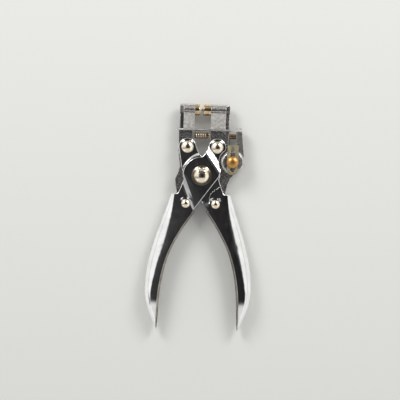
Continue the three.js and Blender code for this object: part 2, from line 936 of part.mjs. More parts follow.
// A round wire through points, its section turned square to the way it runs
function wireThrough(points, radius, sides) {
  const along = points.map((_, i) => {
    const before = points[Math.max(i - 1, 0)];
    const after = points[Math.min(i + 1, points.length - 1)];
    return after.clone().sub(before).normalize();
  });
  const centreLine = new THREE.Vector3(0, punchHeight, 0);
  const rings = points.map((point, i) => {
    const axisPoint = centreLine.clone().setX(point.x);
    const outward = point.clone().sub(axisPoint);
    outward.addScaledVector(along[i], -outward.dot(along[i])).normalize();
    const across = along[i].clone().cross(outward);
    return Array.from({ length: sides }, (_, k) => {
      const turn = (2 * Math.PI * k) / sides;
      return point
        .clone()
        .addScaledVector(outward, radius * Math.cos(turn))
        .addScaledVector(across, radius * Math.sin(turn));
    });
  });
  const positions = [];
  const push = (...corners) => corners.forEach((p) => positions.push(p.x, p.y, p.z));
  for (let i = 0; i + 1 < rings.length; i += 1) {
    for (let k = 0; k < sides; k += 1) {
      const next = (k + 1) % sides;
      push(rings[i][k], rings[i][next], rings[i + 1][next]);
      push(rings[i][k], rings[i + 1][next], rings[i + 1][k]);
    }
  }
  const first = rings[0];
  const last = rings[rings.length - 1];
  for (let k = 1; k + 1 < sides; k += 1) {
    push(first[0], first[k + 1], first[k]);
    push(last[0], last[k], last[k + 1]);
  }
  const geometry = new THREE.BufferGeometry();
  geometry.setAttribute("position", new THREE.Float32BufferAttribute(positions, 3));
  return geometry;
}

// The least gap between one curl of the spring and the next, measured on its centre points
function leastSpringGap(points) {
  let least = Infinity;
  points.forEach((a, i) =>
    points.slice(i + curlSteps - 2).forEach((b) => {
      least = Math.min(least, a.distanceTo(b) - 2 * springWireRadius);
    }),
  );
  return least;
}

function returnSpring() {
  const points = springPoints();
  console.log("least gap of the spring to itself, mm:", leastSpringGap(points).toFixed(2));
  return solidOf(wireThrough(points, springWireRadius, wireSides));
}

// The guard wire: two legs across the jaws, joined by a bend round the left jaw's edge
class GuardPath extends THREE.Curve {
  getPoint(share, target = new THREE.Vector3()) {
    const bend = faceHalf + guardGap + guardWireRadius;
    const bendX = -leftOuter - guardSideGap - guardWireRadius + bend;
    const leg = rightOuter + guardPast - bendX;
    const total = 2 * leg + Math.PI * bend;
    const run = share * total;
    if (run <= leg) return target.set(bendX + leg - run, guardHeight, bend);
    if (run >= total - leg) return target.set(bendX + run - total + leg, guardHeight, -bend);
    const turn = (run - leg) / bend;
    return target.set(
      bendX - bend * Math.sin(turn),
      guardHeight,
      bend * Math.cos(turn),
    );
  }
}

function guardWire() {
  const ring = new THREE.Shape();
  ring.absarc(0, 0, guardWireRadius, 0, 2 * Math.PI, false);
  const geometry = new THREE.ExtrudeGeometry(ring, {
    steps: guardSteps,
    curveSegments: guardSegments,
    extrudePath: new GuardPath(),
    bevelEnabled: false,
  });
  return solidOf(geometry);
}

// The edge stop: a slotted strap that slides in the boss's groove under the brass dome
const strapBack = stopGrooveFloor + stopGap;
const strapFront = strapBack + strapThickness;

function edgeStop() {
  const half = strapWidth / 2;
  const plate = roundedShape([
    [stopX - half, stopY - strapBelow, half],
    [stopX + half, stopY - strapBelow, half],
    [stopX + half, stopY + strapAbove, strapCorner],
    [stopX - half, stopY + strapAbove, strapCorner],
  ]);
  const end = strapSlotWidth / 2;
  const slot = slotShape(stopX, stopY - strapSlotBelow + end, stopY + strapSlotAbove - end, end);
  return cut(prism(plate, strapBack, strapFront), prism(slot, 0, stopBossFront + overrun));
}

function stopRivet() {
  const seat = strapFront + stopGap;
  const back = -faceHalf - stopWasherThickness;
  const points = [
    [0, back - stopTailHeight],
    [stopTailHead, back - stopTailHeight],
    [stopTailHead, back],
    [stopShank, back],
    [stopShank, seat],
  ];
  for (let i = 0; i <= domeSteps; i += 1) {
    const turn = (Math.PI * i) / (2 * domeSteps);
    points.push([stopDome * Math.cos(turn), seat + stopDomeHeight * Math.sin(turn)]);
  }
  points[points.length - 1][0] = 0;
  return turnedZ(points, stopX, stopY);
}

function stopWasher() {
  const inner = stopShank + runGap;
  const back = -faceHalf - stopWasherThickness;
  return turnedZ(
    [
      [inner, back],
      [stopWasherRadius, back],
      [stopWasherRadius, -faceHalf],
      [inner, -faceHalf],
      [inner, back],
    ],
    stopX,
    stopY,
    smallSides,
  );
}

// Finishes
const finish = (color, roughness, metalness) =>
  new THREE.MeshStandardMaterial({ color, roughness, metalness });
const chrome = () => finish(0xd4d4d2, 0.12, 1);
const castNickel = () => finish(0xb5b2ae, 0.38, 1);
const rivetNickel = () => finish(0xe1d2b4, 0.2, 1);
const bronze = () => finish(0xcdb48c, 0.32, 1);
const springSteel = () => finish(0xb9a58a, 0.3, 1);
const strapNickel = () => finish(0xa89a86, 0.3, 1);
const brass = () => finish(0xd09a4e, 0.25, 1);
const wireSteel = () => finish(0xa6a6a2, 0.3, 1);

const [px, py] = [rivetX, rivetY];
const upperRivet = (x) =>
  rivet(upperShank, upperDome, upperDomeHeight, plateOuter, x, py, roundSides);
const lowerRivet = (x) =>
  rivet(lowerShank, lowerDome, lowerDomeHeight, plateOuter, x, -py, smallSides);

const pliers = new THREE.Group();
pliers.add(
  meshOf("left_handle", handle(-1, bridgePlate()), chrome()),
  meshOf("right_handle", handle(1, dishPlate()), chrome()),
  meshOf("left_jaw", leftJaw(), castNickel()),
  meshOf("right_jaw", rightJaw(), castNickel()),
  meshOf(
    "pivot_rivet",
    rivet(pivotShank, pivotDome, pivotDomeHeight, bridgeOuter, 0, 0, roundSides, pivotSkirt),
    rivetNickel(),
  ),
  meshOf("pivot_spacer", pivotSpacer(), castNickel()),
  meshOf("upper_left_rivet", upperRivet(-px), rivetNickel()),
  meshOf("upper_right_rivet", upperRivet(px), rivetNickel()),
  meshOf("lower_left_rivet", lowerRivet(-px), rivetNickel()),
  meshOf("lower_right_rivet", lowerRivet(px), rivetNickel()),
  meshOf("anvil_die", anvilDie(), bronze()),
  meshOf("setting_die", settingDie(), bronze()),
  meshOf("pilot_pin", pilotPin(), bronze()),
  meshOf("punch_rod", punchRod(), bronze()),
  meshOf("punch_bush", punchBush(), bronze()),
  meshOf("return_spring", returnSpring(), springSteel()),
  meshOf("spring_washer", springWasher(), springSteel()),
  meshOf("edge_stop", edgeStop(), strapNickel()),
  meshOf("edge_stop_rivet", stopRivet(), brass()),
  meshOf("edge_stop_washer", stopWasher(), castNickel()),
  meshOf("guard_wire", guardWire(), wireSteel()),
);
pliers.position.z = gripHalf;

export default pliers;
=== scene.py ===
# %% [markdown]
# # Chromed eyelet pliers, dressed for a studio picture
# The CAD model gives every piece its place and size. This notebook gives the pieces their
# rounded edges, turned details and finishes, and sets up a floor, soft light and a camera.

# %% Load the frame
import bmesh
import bpy
import math
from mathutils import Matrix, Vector


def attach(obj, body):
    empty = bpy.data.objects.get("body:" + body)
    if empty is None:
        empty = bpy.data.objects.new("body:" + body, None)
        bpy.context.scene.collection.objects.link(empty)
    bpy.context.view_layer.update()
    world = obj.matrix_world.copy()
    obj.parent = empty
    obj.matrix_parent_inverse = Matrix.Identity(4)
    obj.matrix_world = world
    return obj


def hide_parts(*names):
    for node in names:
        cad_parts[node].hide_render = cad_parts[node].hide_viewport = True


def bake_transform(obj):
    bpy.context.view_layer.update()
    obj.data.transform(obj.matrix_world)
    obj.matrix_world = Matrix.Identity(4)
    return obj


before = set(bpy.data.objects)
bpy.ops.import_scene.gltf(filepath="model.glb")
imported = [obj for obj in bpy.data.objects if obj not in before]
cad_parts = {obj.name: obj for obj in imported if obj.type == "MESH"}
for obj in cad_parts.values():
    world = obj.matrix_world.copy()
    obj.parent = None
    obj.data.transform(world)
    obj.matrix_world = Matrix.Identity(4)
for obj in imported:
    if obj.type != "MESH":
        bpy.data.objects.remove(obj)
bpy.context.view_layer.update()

# %% [markdown]
# Lengths are easier to read in millimetres, so one function turns them into metres. Heights are
# measured from the middle plane of the pliers, which lies 7.6 mm over the floor. Places that
# several pieces share are written once here.

# %% Lengths and places
MIDDLE = 7.6


def mm(value):
    """Millimetres as metres."""
    return value * 0.001


def place(x, y, z=0.0):
    """A point given in millimetres, with its height from the middle plane."""
    return Vector((mm(x), mm(y), mm(z + MIDDLE)))


RIVET_X, RIVET_Y = 10.3, 19.6
DIE_Y = 45.4
PUNCH_Y = 27.7
GUARD_Y = 31.7
LEFT_FACE, RIGHT_FACE = -5.9, 5.1
STOP_X, STOP_Y = 21.2, 9.8
print("rivets at x", RIVET_X, "and y", RIVET_Y, "mm")

# %% [markdown]
# Operators act on whatever is selected, and the loaded CAD nodes arrive selected. So each step
# starts by selecting nothing, and edit mode is entered and left by two small helpers.

# %% Selecting and editing


def select_only(piece):
    bpy.ops.object.select_all(action="DESELECT")
    bpy.context.view_layer.objects.active = piece
    piece.select_set(True)


def open_mesh(piece):
    select_only(piece)
    bpy.ops.object.mode_set(mode="EDIT")
    bpy.ops.mesh.select_all(action="SELECT")


def close_mesh():
    bpy.ops.object.mode_set(mode="OBJECT")


def apply_modifiers(piece):
    select_only(piece)
    for name in [modifier.name for modifier in piece.modifiers]:
        bpy.ops.object.modifier_apply(modifier=name)


print("CAD nodes loaded:", len(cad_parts))

# %% [markdown]
# ## Colours and nodes
# Colours are written as the hex values a painter would pick from a screen. Blender wants linear
# light, so one function converts them. A second small function adds a node, sets its values and
# links what feeds it, and every material below is built with that alone.

# %% Colour and node helpers
MATH, RANGE = "ShaderNodeMath", "ShaderNodeMapRange"


def linear(code):
    """An sRGB hex colour as linear red, green, blue and alpha."""
    parts = [int(code[i:i + 2], 16) / 255 for i in (1, 3, 5)]
    return tuple(
        c / 12.92 if c <= 0.04045 else ((c + 0.055) / 1.055) ** 2.4 for c in parts
    ) + (1.0,)


def add_node(tree, kind, feeds=None, **settings):
    """Adds a node. Settings name its options or inputs. A feed is what an input gets: a node,
    which gives its first output, an output, or a plain value."""
    node = tree.nodes.new(kind)
    for name, value in settings.items():
        if hasattr(node, name):
            setattr(node, name, value)
        else:
            node.inputs[name.replace("_", " ")].default_value = value
    for name, feed in (feeds or {}).items():
        if isinstance(feed, bpy.types.Node):
            feed = feed.outputs[0]
        if isinstance(feed, bpy.types.NodeSocket):
            tree.links.new(feed, node.inputs[name])
        else:
            node.inputs[name].default_value = feed
    return node


print("mid grey in linear light:", round(linear("#808080")[0], 3))

# %% [markdown]
# Some finishes change from one part of a piece to another. Two masks say where: one fades along
# an axis of the pliers, the other with the distance from an upright line such as a rivet's axis.
# Both count in millimetres, and both can fade either way.

# %% Masks by place


def beyond(tree, spot, axis, start, stop, high=1.0):
    """Fades from zero to high as a place goes along an axis from start to stop."""
    axes = add_node(tree, "ShaderNodeSeparateXYZ", {"Vector": spot})
    return add_node(
        tree, RANGE, {"Value": axes.outputs[axis]}, interpolation_type="SMOOTHSTEP",
        From_Min=mm(start), From_Max=mm(stop), To_Min=0.0, To_Max=high,
    )


def away_from(tree, spot, x, y, start, stop, high=1.0):
    """Fades from zero to high as a place goes from start to stop away from an upright line."""
    axes = add_node(tree, "ShaderNodeSeparateXYZ", {"Vector": spot})
    flat = add_node(
        tree, "ShaderNodeCombineXYZ", {"X": axes.outputs["X"], "Y": axes.outputs["Y"]},
    )
    reach = add_node(
        tree, "ShaderNodeVectorMath", {0: flat, 1: (mm(x), mm(y), 0.0)}, operation="DISTANCE",
    )
    return add_node(
        tree, RANGE, {"Value": reach.outputs["Value"]}, interpolation_type="SMOOTHSTEP",
        From_Min=mm(start), From_Max=mm(stop), To_Min=0.0, To_Max=high,
    )


print("masks fade along X, Y or Z, or round an upright line")

# %% [markdown]
# ## Metals
# Every surface here is metal, so the materials differ in colour, in how rough the skin is, and in
# the marks that making and handling leave. The recipe below takes these and lays down three
# layers: cloudy colour variation, fine marks drawn out along one direction, and grain.
# Sizes are real ones: a texture scale is one over the size of the mark in metres.
# The first layer needs three close colours, because plating is never one even tone.

# %% Clouds of colour
CLOUD_STOPS = (0.34, 0.52, 0.7)


def cloudy_colour(tree, spot, colours, cloud_mm):
    """Three close colours in soft clouds."""
    clouds = add_node(
        tree, "ShaderNodeTexNoise", {"Vector": spot},
        Scale=1 / mm(cloud_mm), Detail=4.0, Roughness=0.55,
    )
    tint = add_node(tree, "ShaderNodeValToRGB", {"Fac": clouds})
    tint.color_ramp.elements.new(0.5)
    for stop, at, colour in zip(tint.color_ramp.elements, CLOUD_STOPS, colours):
        stop.position = at
        stop.color = linear(colour)
    return tint.outputs["Color"]


print("cloud colours stand at", CLOUD_STOPS)

# %% [markdown]
# The other two layers are relief, a few hundredths of a millimetre deep at most. Dents that a
# tool pressed into the sheet come first, the marks lie on them, and the grain lies on the marks.

# %% Marks and grain


def drawn_marks(tree, spot, mark_mm, stretch):
    """Fine marks, longer along an axis where stretch is under one."""
    drawn = add_node(tree, "ShaderNodeMapping", {"Vector": spot}, Scale=stretch)
    return add_node(
        tree, "ShaderNodeTexNoise", {"Vector": drawn},
        Scale=1 / mm(mark_mm), Detail=3.0, Roughness=0.6,
    )


def skin_relief(tree, spot, marks, mark_depth, grain_mm, grain_depth, dents):
    """The surface's normal with dents, marks and grain, one on the other."""
    grain = add_node(
        tree, "ShaderNodeTexNoise", {"Vector": spot},
        Scale=1 / mm(grain_mm), Detail=2.0, Roughness=0.5,
    )
    relief = add_node(
        tree, "ShaderNodeBump", {"Height": marks}, Strength=1.0, Distance=mm(mark_depth),
    )
    if dents:
        pressed = add_node(
            tree, "ShaderNodeBump", {"Height": dents(tree, spot)}, Strength=1.0, Distance=1.0,
        )
        tree.links.new(pressed.outputs["Normal"], relief.inputs["Normal"])
    return add_node(
        tree, "ShaderNodeBump", {"Height": grain, "Normal": relief},
        Strength=1.0, Distance=mm(grain_depth),
    )


print("relief goes from dents to marks to grain")

# %% [markdown]
# The recipe puts the layers together. The marks also make the gloss a little uneven. A zone, where
# a metal has one, is duller than the rest, and it may take another colour, which paints shade or
# light onto that part.

# %% One recipe for a worked metal
LEAST_ROUGH = 0.02


def worked_metal(name, colours, roughness, mark_mm, stretch, mark_depth, grain_mm, grain_depth,
                 cloud_mm=6.0, rough_spread=0.08, zone=None, zone_roughness=0.4, zone_painted_colour=None,
                 dents=None):
    """Metal with clouds of colour, drawn-out marks of mark_mm and grain of grain_mm.

    zone and dents are functions of the tree and the place on the piece. The first gives the
    share of zone_roughness and zone_painted_colour there, the second a height in metres."""
    material = bpy.data.materials.new(name)
    material.use_nodes = True
    tree = material.node_tree
    tree.nodes.clear()
    spot = add_node(tree, "ShaderNodeTexCoord").outputs["Object"]
    colour = cloudy_colour(tree, spot, colours, cloud_mm)
    marks = drawn_marks(tree, spot, mark_mm, stretch)
    rough = add_node(
        tree, RANGE, {"Value": marks}, From_Min=0.3, From_Max=0.7,
        To_Min=max(roughness - rough_spread, LEAST_ROUGH), To_Max=roughness + rough_spread,
    )
    if zone:
        share = zone(tree, spot)
        rough = add_node(
            tree, "ShaderNodeMix", {0: share, 2: rough, 3: zone_roughness}, data_type="FLOAT",
        )
        # The zone's colour is painted shade or painted light, not the metal's own tone.
        if zone_painted_colour:
            painted_tone = add_node(
                tree, "ShaderNodeMix", {0: share, 6: colour, 7: linear(zone_painted_colour)},
                data_type="RGBA",
            )
            colour = painted_tone.outputs[2]
    skin = skin_relief(tree, spot, marks, mark_depth, grain_mm, grain_depth, dents)
    shader = add_node(
        tree, "ShaderNodeBsdfPrincipled",
        {"Base Color": colour, "Roughness": rough, "Normal": skin}, Metallic=1.0,
    )
    add_node(tree, "ShaderNodeOutputMaterial", {"Surface": shader})
    print("material:", name)
    return material


# %% [markdown]
# Chrome plate on pressed steel is cold, bright and nearly a mirror. The sheet under it is never
# quite flat, so its reflections wander a little, and handling leaves hair-fine scratches.
# Closing a rivet also presses the sheet round it: a shallow ring shows there, on the side
# towards the jaws. And a sheet that is bent over a die starts to fall a few millimetres before
# the bend, so the pivot's plate brightens softly towards its shoulder at the upper right.
# Each ring below is a place on X and Y and a radius, in mm.

# %% Rings and shoulder of the pressed sheet
RING_DEPTH, RING_HALF_STEP = 0.2, 0.5
RING_STARTS, RING_FULL = 1.6, 3.4
RING_GAP, RING_ASIDE = 0.7, 2.2
PRESSED_RINGS = ((-RIVET_X, -RIVET_Y, 4.4), (RIVET_X, -RIVET_Y, 4.6),
                 (-RIVET_X, RIVET_Y, 4.9), (RIVET_X, RIVET_Y, 4.9))
SHOULDER_DEPTH, FALL_STARTS, FALL_ENDS = 0.91, 8.6, 13.6
SHOULDER_FULL, SHOULDER_GONE = 7, 19
ACROSS_SHOULDER, ALONG_SHOULDER = (0.812, 0.583, 0.0), (0.583, -0.812, 0.0)


def pressed_ring(tree, spot, x, y, radius, depth):
    """Two low steps beside an upright axis, left and right on the side towards the jaws."""
    step = away_from(
        tree, spot, x, y, radius + RING_HALF_STEP, radius - RING_HALF_STEP, mm(depth),
    )
    towards_jaws = beyond(tree, spot, "Y", y + RING_STARTS, y + RING_FULL)
    left = beyond(tree, spot, "X", x - RING_GAP, x - RING_ASIDE)
    right = beyond(tree, spot, "X", x + RING_GAP, x + RING_ASIDE)
    aside = add_node(tree, MATH, {0: left, 1: right}, operation="MAXIMUM")
    share = add_node(tree, MATH, {0: towards_jaws, 1: aside}, operation="MULTIPLY")
    return add_node(tree, MATH, {0: step, 1: share}, operation="MULTIPLY")


def soft_shoulder(tree, spot):
    """The pivot's plate starts to fall 5 mm before its bent shoulder at the upper right."""
    across = add_node(
        tree, "ShaderNodeVectorMath", {0: spot, 1: ACROSS_SHOULDER}, operation="DOT_PRODUCT",
    )
    along = add_node(
        tree, "ShaderNodeVectorMath", {0: spot, 1: ALONG_SHOULDER}, operation="DOT_PRODUCT",
    )
    fall = add_node(
        tree, RANGE, {"Value": across.outputs["Value"]},
        From_Min=mm(FALL_STARTS), From_Max=mm(FALL_ENDS),
    )
    curved = add_node(tree, MATH, {0: fall, 1: 2.0}, operation="POWER")
    depth = add_node(
        tree, RANGE, {"Value": along.outputs["Value"]}, interpolation_type="SMOOTHSTEP",
        From_Min=mm(SHOULDER_GONE), From_Max=mm(SHOULDER_FULL),
        To_Min=0.0, To_Max=mm(-SHOULDER_DEPTH),
    )
    return add_node(tree, MATH, {0: curved, 1: depth}, operation="MULTIPLY")


def pressed_plate(tree, spot):
    """Shallow rings round the four outer rivets, and the soft shoulder."""
    height = soft_shoulder(tree, spot)
    for x, y, radius in PRESSED_RINGS:
        ring = pressed_ring(tree, spot, x, y, radius, RING_DEPTH)
        height = add_node(tree, MATH, {0: height, 1: ring}, operation="ADD")
    return height


print("pressed rings:", len(PRESSED_RINGS))

# %% [markdown]
# The plate itself is almost white and mirror smooth. Its grain of 9 mm isn't grain but the
# sheet's own waviness, and the scratches are drawn out along the grips, as hands rub them.

# %% Chrome plate on pressed steel
chrome_plate = worked_metal(
    "chrome_plate_on_pressed_steel", ["#d6d6d5", "#e2e2e1", "#ececec"], roughness=0.1,
    mark_mm=1.6, stretch=(1.0, 0.12, 1.0), mark_depth=0.003, grain_mm=9.0, grain_depth=0.07,
    cloud_mm=14.0, rough_spread=0.04, dents=pressed_plate,
)

# %% [markdown]
# The insides of the grips' channels and their inner edges face the other grip. The plating there
# is dull, and its darker, slightly yellow-grey colour is painted shade and painted reflection of
# the space between the grips.

# %% Dull chrome with painted shade
# Painted shade: these colours are darker than the plate and stand in for the shade between the
# grips.
chrome_painted_shade = worked_metal(
    "dull_chrome_with_painted_shade", ["#7f7a72", "#938e85", "#a5a097"], roughness=0.34,
    mark_mm=0.9, stretch=(1.0, 0.3, 1.0), mark_depth=0.01, grain_mm=0.7, grain_depth=0.008,
    cloud_mm=5.0, rough_spread=0.06,
)

# %% [markdown]
# The jaws are cast, tumbled and plated with satin nickel. Casting leaves a skin of soft pits
# about a millimetre wide, which break every highlight. The raised blocks under the dies were
# ground and blasted, so they are paler and more matt than the hollows round them, and a little
# of that blasting reached the punch's arm.

# %% Satin nickel on cast steel
BLOCKS_START, BLOCKS_END = (30.6, 31.2), (43.5, 43.2)
HOLLOW, PROUD = 3.5, 3.7
ARM_START, ARM_SHARE = (21, 22), 0.2


def blasted_blocks(tree, spot):
    """One on the raised faces between guard wire and dies, a little on the arm, zero elsewhere."""
    above = beyond(tree, spot, "Y", *BLOCKS_START)
    below = beyond(tree, spot, "Y", *BLOCKS_END)
    front = beyond(tree, spot, "Z", MIDDLE + HOLLOW, MIDDLE + PROUD)
    back = beyond(tree, spot, "Z", MIDDLE - HOLLOW, MIDDLE - PROUD)
    proud = add_node(tree, MATH, {0: front, 1: back}, operation="MAXIMUM")
    arm = beyond(tree, spot, "X", *ARM_START, ARM_SHARE)
    blocks = add_node(tree, MATH, {0: above, 1: below}, operation="MULTIPLY")
    either = add_node(tree, MATH, {0: blocks, 1: arm}, operation="MAXIMUM")
    return add_node(tree, MATH, {0: proud, 1: either}, operation="MULTIPLY")


cast_nickel = worked_metal(
    "satin_nickel_on_cast_steel", ["#a5a29e", "#bbb8b4", "#d2cfcb"], roughness=0.25,
    mark_mm=1.3, stretch=(1.0, 1.0, 1.0), mark_depth=0.045, grain_mm=0.6, grain_depth=0.02,
    cloud_mm=1.5, rough_spread=0.06, zone=blasted_blocks, zone_roughness=0.5,
)

# %% [markdown]
# The strip along the left jaw's outer side is coloured dark nickel: painted shade, standing in for
# the dark look of this lower flat face. Beside the die's boss the colour is lighter, a painted
# highlight that runs on from the boss's lit top.

# %% Nickel with painted shade on the left jaw's strip
BOSS_START = (43, 43.5)


def painted_light_beside_boss(tree, spot):
    """One beside the die's boss, where the strip gets its lighter painted highlight, zero below
    it.
    """
    return beyond(tree, spot, "Y", *BOSS_START)


# Painted shade: these dark colours stand in for the shade on the strip, and the lighter zone
# colour beside the boss is a painted highlight.
strip_painted_shade = worked_metal(
    "nickel_with_painted_strip_shade", ["#403f3d", "#4c4b49", "#5c5b59"], roughness=0.38,
    mark_mm=0.9, stretch=(1.0, 1.0, 1.0), mark_depth=0.03, grain_mm=0.5, grain_depth=0.02,
    cloud_mm=1.5, rough_spread=0.06, zone=painted_light_beside_boss, zone_roughness=0.34, zone_painted_colour="#93908d",
)

# %% [markdown]
# The rivets are turned from nickel-plated steel, which looks warmer than chrome beside it. The
# press tool that closes the pivot leaves its skirt matt, while the domes stay polished. The
# skirt's dark brown colour is painted shade and painted reflection. The tool also bites on the
# side towards the jaws, and two small spots there stay polished and light: painted highlights.

# %% Polished nickel, with painted shade on the pivot's skirt
SKIRT_INNER, SKIRT_OUTER = (5.05, 5.3), (7.4, 7.1)
SKIRT_STEP, SKIRT_DEPTH = 5.9, 0.3
PAINTED_HIGHLIGHT_X, PAINTED_HIGHLIGHT_Y, PAINTED_HIGHLIGHT_EDGE = 3.5, 5.0, (0.6, 1.7)


def matt_skirt_painted_shade(tree, spot):
    """One on the skirt, from 5.2 mm off the pivot's axis to its rim, where it is matt and painted
    dark brown shade, but not on the two painted highlights.
    """
    inner = away_from(tree, spot, 0.0, 0.0, *SKIRT_INNER)
    outer = away_from(tree, spot, 0.0, 0.0, *SKIRT_OUTER)
    matt = add_node(tree, MATH, {0: inner, 1: outer}, operation="MULTIPLY")
    for x in (-PAINTED_HIGHLIGHT_X, PAINTED_HIGHLIGHT_X):
        away = away_from(tree, spot, x, PAINTED_HIGHLIGHT_Y, *PAINTED_HIGHLIGHT_EDGE)
        matt = add_node(tree, MATH, {0: matt, 1: away}, operation="MULTIPLY")
    return matt


def skirt_step(tree, spot):
    """The skirt falls away on the side towards the jaws, where the press tool bit."""
    return pressed_ring(tree, spot, 0.0, 0.0, SKIRT_STEP, SKIRT_DEPTH)


# Painted shade and light: the skirt's dark brown zone colour paints shade and reflection there,
# and the two spots left out of it are painted highlights.
nickel_with_painted_skirt = worked_metal(
    "polished_nickel_with_painted_skirt", ["#dccfb8", "#e8dcc7", "#f0e7d6"], roughness=0.1,
    mark_mm=0.8, stretch=(1.0, 1.0, 0.3), mark_depth=0.002, grain_mm=2.5, grain_depth=0.003,
    cloud_mm=3.0, rough_spread=0.04, zone=matt_skirt_painted_shade, zone_roughness=0.26, zone_painted_colour="#7a7162",
    dents=skirt_step,
)

# %% [markdown]
# The dies and the bush are turned bronze gone slightly brown. A lathe leaves rings round the
# axis, which here runs along X, so the marks are fine along X and drawn out across it.

# %% Turned bronze
turned_bronze = worked_metal(
    "turned_bronze", ["#b7a283", "#cdb896", "#decaab"], roughness=0.08,
    mark_mm=0.6, stretch=(1.0, 0.03, 0.03), mark_depth=0.008, grain_mm=0.8, grain_depth=0.002,
    cloud_mm=3.5, rough_spread=0.04,
)

# %% [markdown]
# The punch is hardened steel, straw brown from its tempering.

# %% Tempered punch steel
tempered_steel = worked_metal(
    "tempered_punch_steel", ["#6f5e4d", "#8a7762", "#a08c74"], roughness=0.22,
    mark_mm=0.6, stretch=(1.0, 0.03, 0.03), mark_depth=0.006, grain_mm=0.8, grain_depth=0.002,
    cloud_mm=4.0, rough_spread=0.06,
)

# %% [markdown]
# The dome on the edge stop is redder brass. It was polished once, and handling has dulled it.

# %% Polished brass
polished_brass = worked_metal(
    "polished_brass", ["#a67740", "#b4884f", "#c29b67"], roughness=0.33,
    mark_mm=0.7, stretch=(1.0, 1.0, 0.3), mark_depth=0.004, grain_mm=1.5, grain_depth=0.006,
    cloud_mm=2.4, rough_spread=0.06,
)

# %% [markdown]
# Spring, washer and guard wire are drawn steel wire with a thin plating. The strap of the edge
# stop is cut from nickel-plated strip and has faint rolling lines along its length. Drawing and
# rolling marks are far finer than a pixel, so they are drawn coarser here, at about 0.5 mm.

# %% Drawn wire and plated strip
spring_wire = worked_metal(
    "drawn_spring_wire", ["#b7aa97", "#c9bda9", "#dacfbd"], roughness=0.24,
    mark_mm=0.4, stretch=(0.5, 1.0, 1.0), mark_depth=0.003, grain_mm=0.5, grain_depth=0.003,
    cloud_mm=1.8,
)
tie_wire = worked_metal(
    "galvanised_wire", ["#9a9a98", "#b4b4b2", "#cacac8"], roughness=0.3,
    mark_mm=0.5, stretch=(0.1, 1.0, 1.0), mark_depth=0.004, grain_mm=0.6, grain_depth=0.004,
    cloud_mm=2.5,
)
plated_strip = worked_metal(
    "nickel_plated_strip", ["#b1a788", "#c4ba98", "#d4cbaa"], roughness=0.38,
    mark_mm=0.45, stretch=(1.0, 0.06, 1.0), mark_depth=0.006, grain_mm=0.7, grain_depth=0.006,
    cloud_mm=3.0,
)

# %% [markdown]
# ## Finishing a piece
# A finished piece keeps its place in its mesh, takes a material, stands in for its CAD node and
# rides on its body, so that it moves when the pliers open. Smooth shading runs over gentle turns
# only, and weighted normals keep flat faces looking flat.

# %% Hand a piece to the frame
FLAT_WEIGHT = 80


def finish_piece(piece, node, body, material, angle=35):
    """Shades a piece, gives it its material and puts it in its node's place, on its body."""
    select_only(piece)
    bpy.ops.object.transform_apply(location=True, rotation=True, scale=True)
    bpy.ops.object.shade_smooth_by_angle(angle=math.radians(angle))
    flat = piece.modifiers.new("flat faces stay flat", "WEIGHTED_NORMAL")
    flat.keep_sharp = True
    flat.weight = FLAT_WEIGHT
    apply_modifiers(piece)
    piece.data.materials.clear()
    piece.data.materials.append(material)
    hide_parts(node)
    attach(piece, body)
    print(piece.name, len(piece.data.polygons), "faces on", body)


print("flat faces weigh", FLAT_WEIGHT, "of 100")

# %% [markdown]
# ## Cast and pressed pieces
# Jaws, handles and strap have their whole form in the CAD. A cast or pressed edge is never
# sharp, though, and a small rounded bevel on each sharp edge catches the light as the real edge
# does. One bevel width can't suit every edge: where two outlines nearly meet there is little
# room. So each edge gets a weight, which is the share of the full width that it has room for.

# %% Weigh the edges for the bevel
FOLD_DEGREES = 10
LEAST_FACE = 0.12e-6
THIN_SHARE, ROOM_SHARE = 0.33, 0.45
COSINE_OF_40 = 0.77


def room_across(edge):
    """The length of the shortest edge that leaves this one's ends at more than 40 degrees."""
    along = (edge.verts[1].co - edge.verts[0].co).normalized()
    lengths = [1.0]
    for corner in edge.verts:
        for other in corner.link_edges:
            away = other.other_vert(corner).co - corner.co
            if abs(along.dot(away)) < COSINE_OF_40 * away.length:
                lengths.append(away.length)
    return min(lengths)


def inside(point, box):
    """Whether a point lies in a box of left, right, low and high in mm, seen from above."""
    left, right, low, high = (mm(side) for side in box)
    return left < point.x < right and low < point.y < high


def mark_edges(piece, radius_mm, sharp, creases, thin):
    """Weights for the bevel, and sharp marks for gentle folds.

    Each sharp outer edge gets the weight that its room allows, or at most a third inside the box
    thin, but none beside a sliver of less than 0.12 square mm. Folds of more than 10 degrees stay
    crisp lines where they lie above creases, a height on Y."""
    shape = bmesh.new()
    shape.from_mesh(piece.data)
    weight = shape.edges.layers.float.new("bevel_weight_edge")
    for edge in shape.edges:
        bend = edge.calc_face_angle(0.0)
        ends = [corner.co for corner in edge.verts]
        if bend > math.radians(sharp):
            smallest = min((face.calc_area() for face in edge.link_faces), default=0.0)
            if edge.is_convex and smallest > LEAST_FACE:
                most = THIN_SHARE if thin and all(inside(end, thin) for end in ends) else 1.0
                edge[weight] = min(most, ROOM_SHARE * room_across(edge) / mm(radius_mm))
        elif bend > math.radians(FOLD_DEGREES) and min(end.y for end in ends) > mm(creases):
            edge.smooth = False
    shape.to_mesh(piece.data)
    shape.free()


print("edges get at most", ROOM_SHARE, "of the room across them")

# %% [markdown]
# A CAD node is loose triangles. Its copy is merged, its tiny edges are dissolved, and triangles
# that lie in one plane become single faces again. A bevel on edges shorter than itself folds
# over and leaves dark slits, so the shortest edge that stays is set for each piece, once before
# the flat faces are joined and once after. The bevel doesn't slide along its neighbours, because
# the cut faces of a pressing have long seams that it would follow for millimetres.

# %% Round the edges of a copied node
MERGE_AT_MOST = 0.03
SAME_PLANE_DEGREES = 0.6


